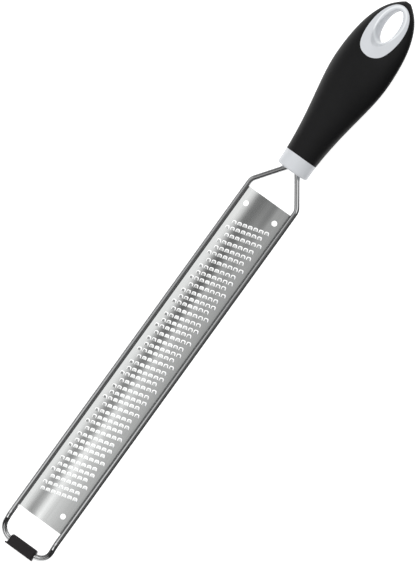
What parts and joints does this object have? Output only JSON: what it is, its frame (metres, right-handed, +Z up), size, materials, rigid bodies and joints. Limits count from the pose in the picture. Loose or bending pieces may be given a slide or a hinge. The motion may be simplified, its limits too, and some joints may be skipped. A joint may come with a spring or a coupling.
{
  "type": "rasp zester",
  "caption": "Hand-held rasp zester: an arched blade with slanting rows of raised teeth in a bent wire frame, a rubber foot at the tip and a soft handle with a hang hole.",
  "frame": {"origin": "middle of the tool's length and width, on the surface it lies on, teeth up", "axes": "+Y along the tool from the foot to the handle's butt, +Z up out of the toothed side, +X to the right seen from above with the handle away from the viewer"},
  "size_m": [0.0361, 0.3849, 0.0261],
  "materials": {
    "blade_steel": "rolled and etched stainless sheet, satin to bright",
    "wire_steel": "polished stainless wire",
    "foot_rubber": "matt black rubber",
    "core_plastic": "satin light grey moulding",
    "grip_rubber": "matt black soft-touch overmould"
  },
  "bodies": {
    "root": {"blade": "blade_steel", "frame_wire": "wire_steel", "foot": "foot_rubber", "handle_core": "core_plastic", "grip": "grip_rubber"}
  },
  "joints": []
}
